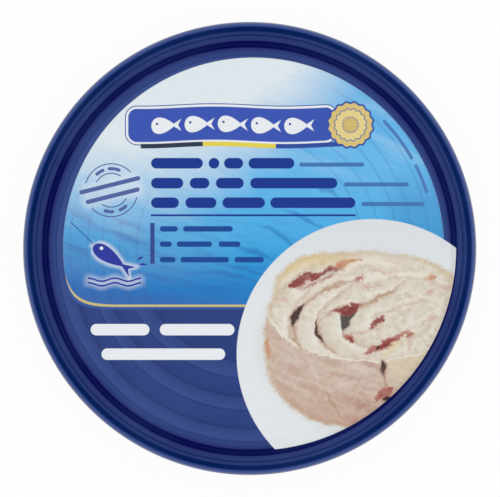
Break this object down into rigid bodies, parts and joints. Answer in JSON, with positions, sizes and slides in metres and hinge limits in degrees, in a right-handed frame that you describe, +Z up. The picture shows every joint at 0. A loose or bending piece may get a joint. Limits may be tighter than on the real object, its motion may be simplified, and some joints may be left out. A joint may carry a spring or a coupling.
{
  "type": "tuna can",
  "caption": "Closed round tuna can, drawn cup with a printed beaded top and a plain double-seamed base end.",
  "frame": {"origin": "on the can's axis, in the plane that the seam stands on", "axes": "+Z up along the can's axis, from the seamed end to the printed drawn end; +Y points to the top of the print"},
  "size_m": [0.0862, 0.0862, 0.04],
  "materials": {
    "printed_lacquer": "gloss navy lacquer over tinplate, with a print of flat colours on the top",
    "end_lacquer": "clear pale gold lacquer over tinplate"
  },
  "bodies": {
    "root": {"can_body": "printed_lacquer", "seamed_end": "end_lacquer"}
  },
  "joints": []
}
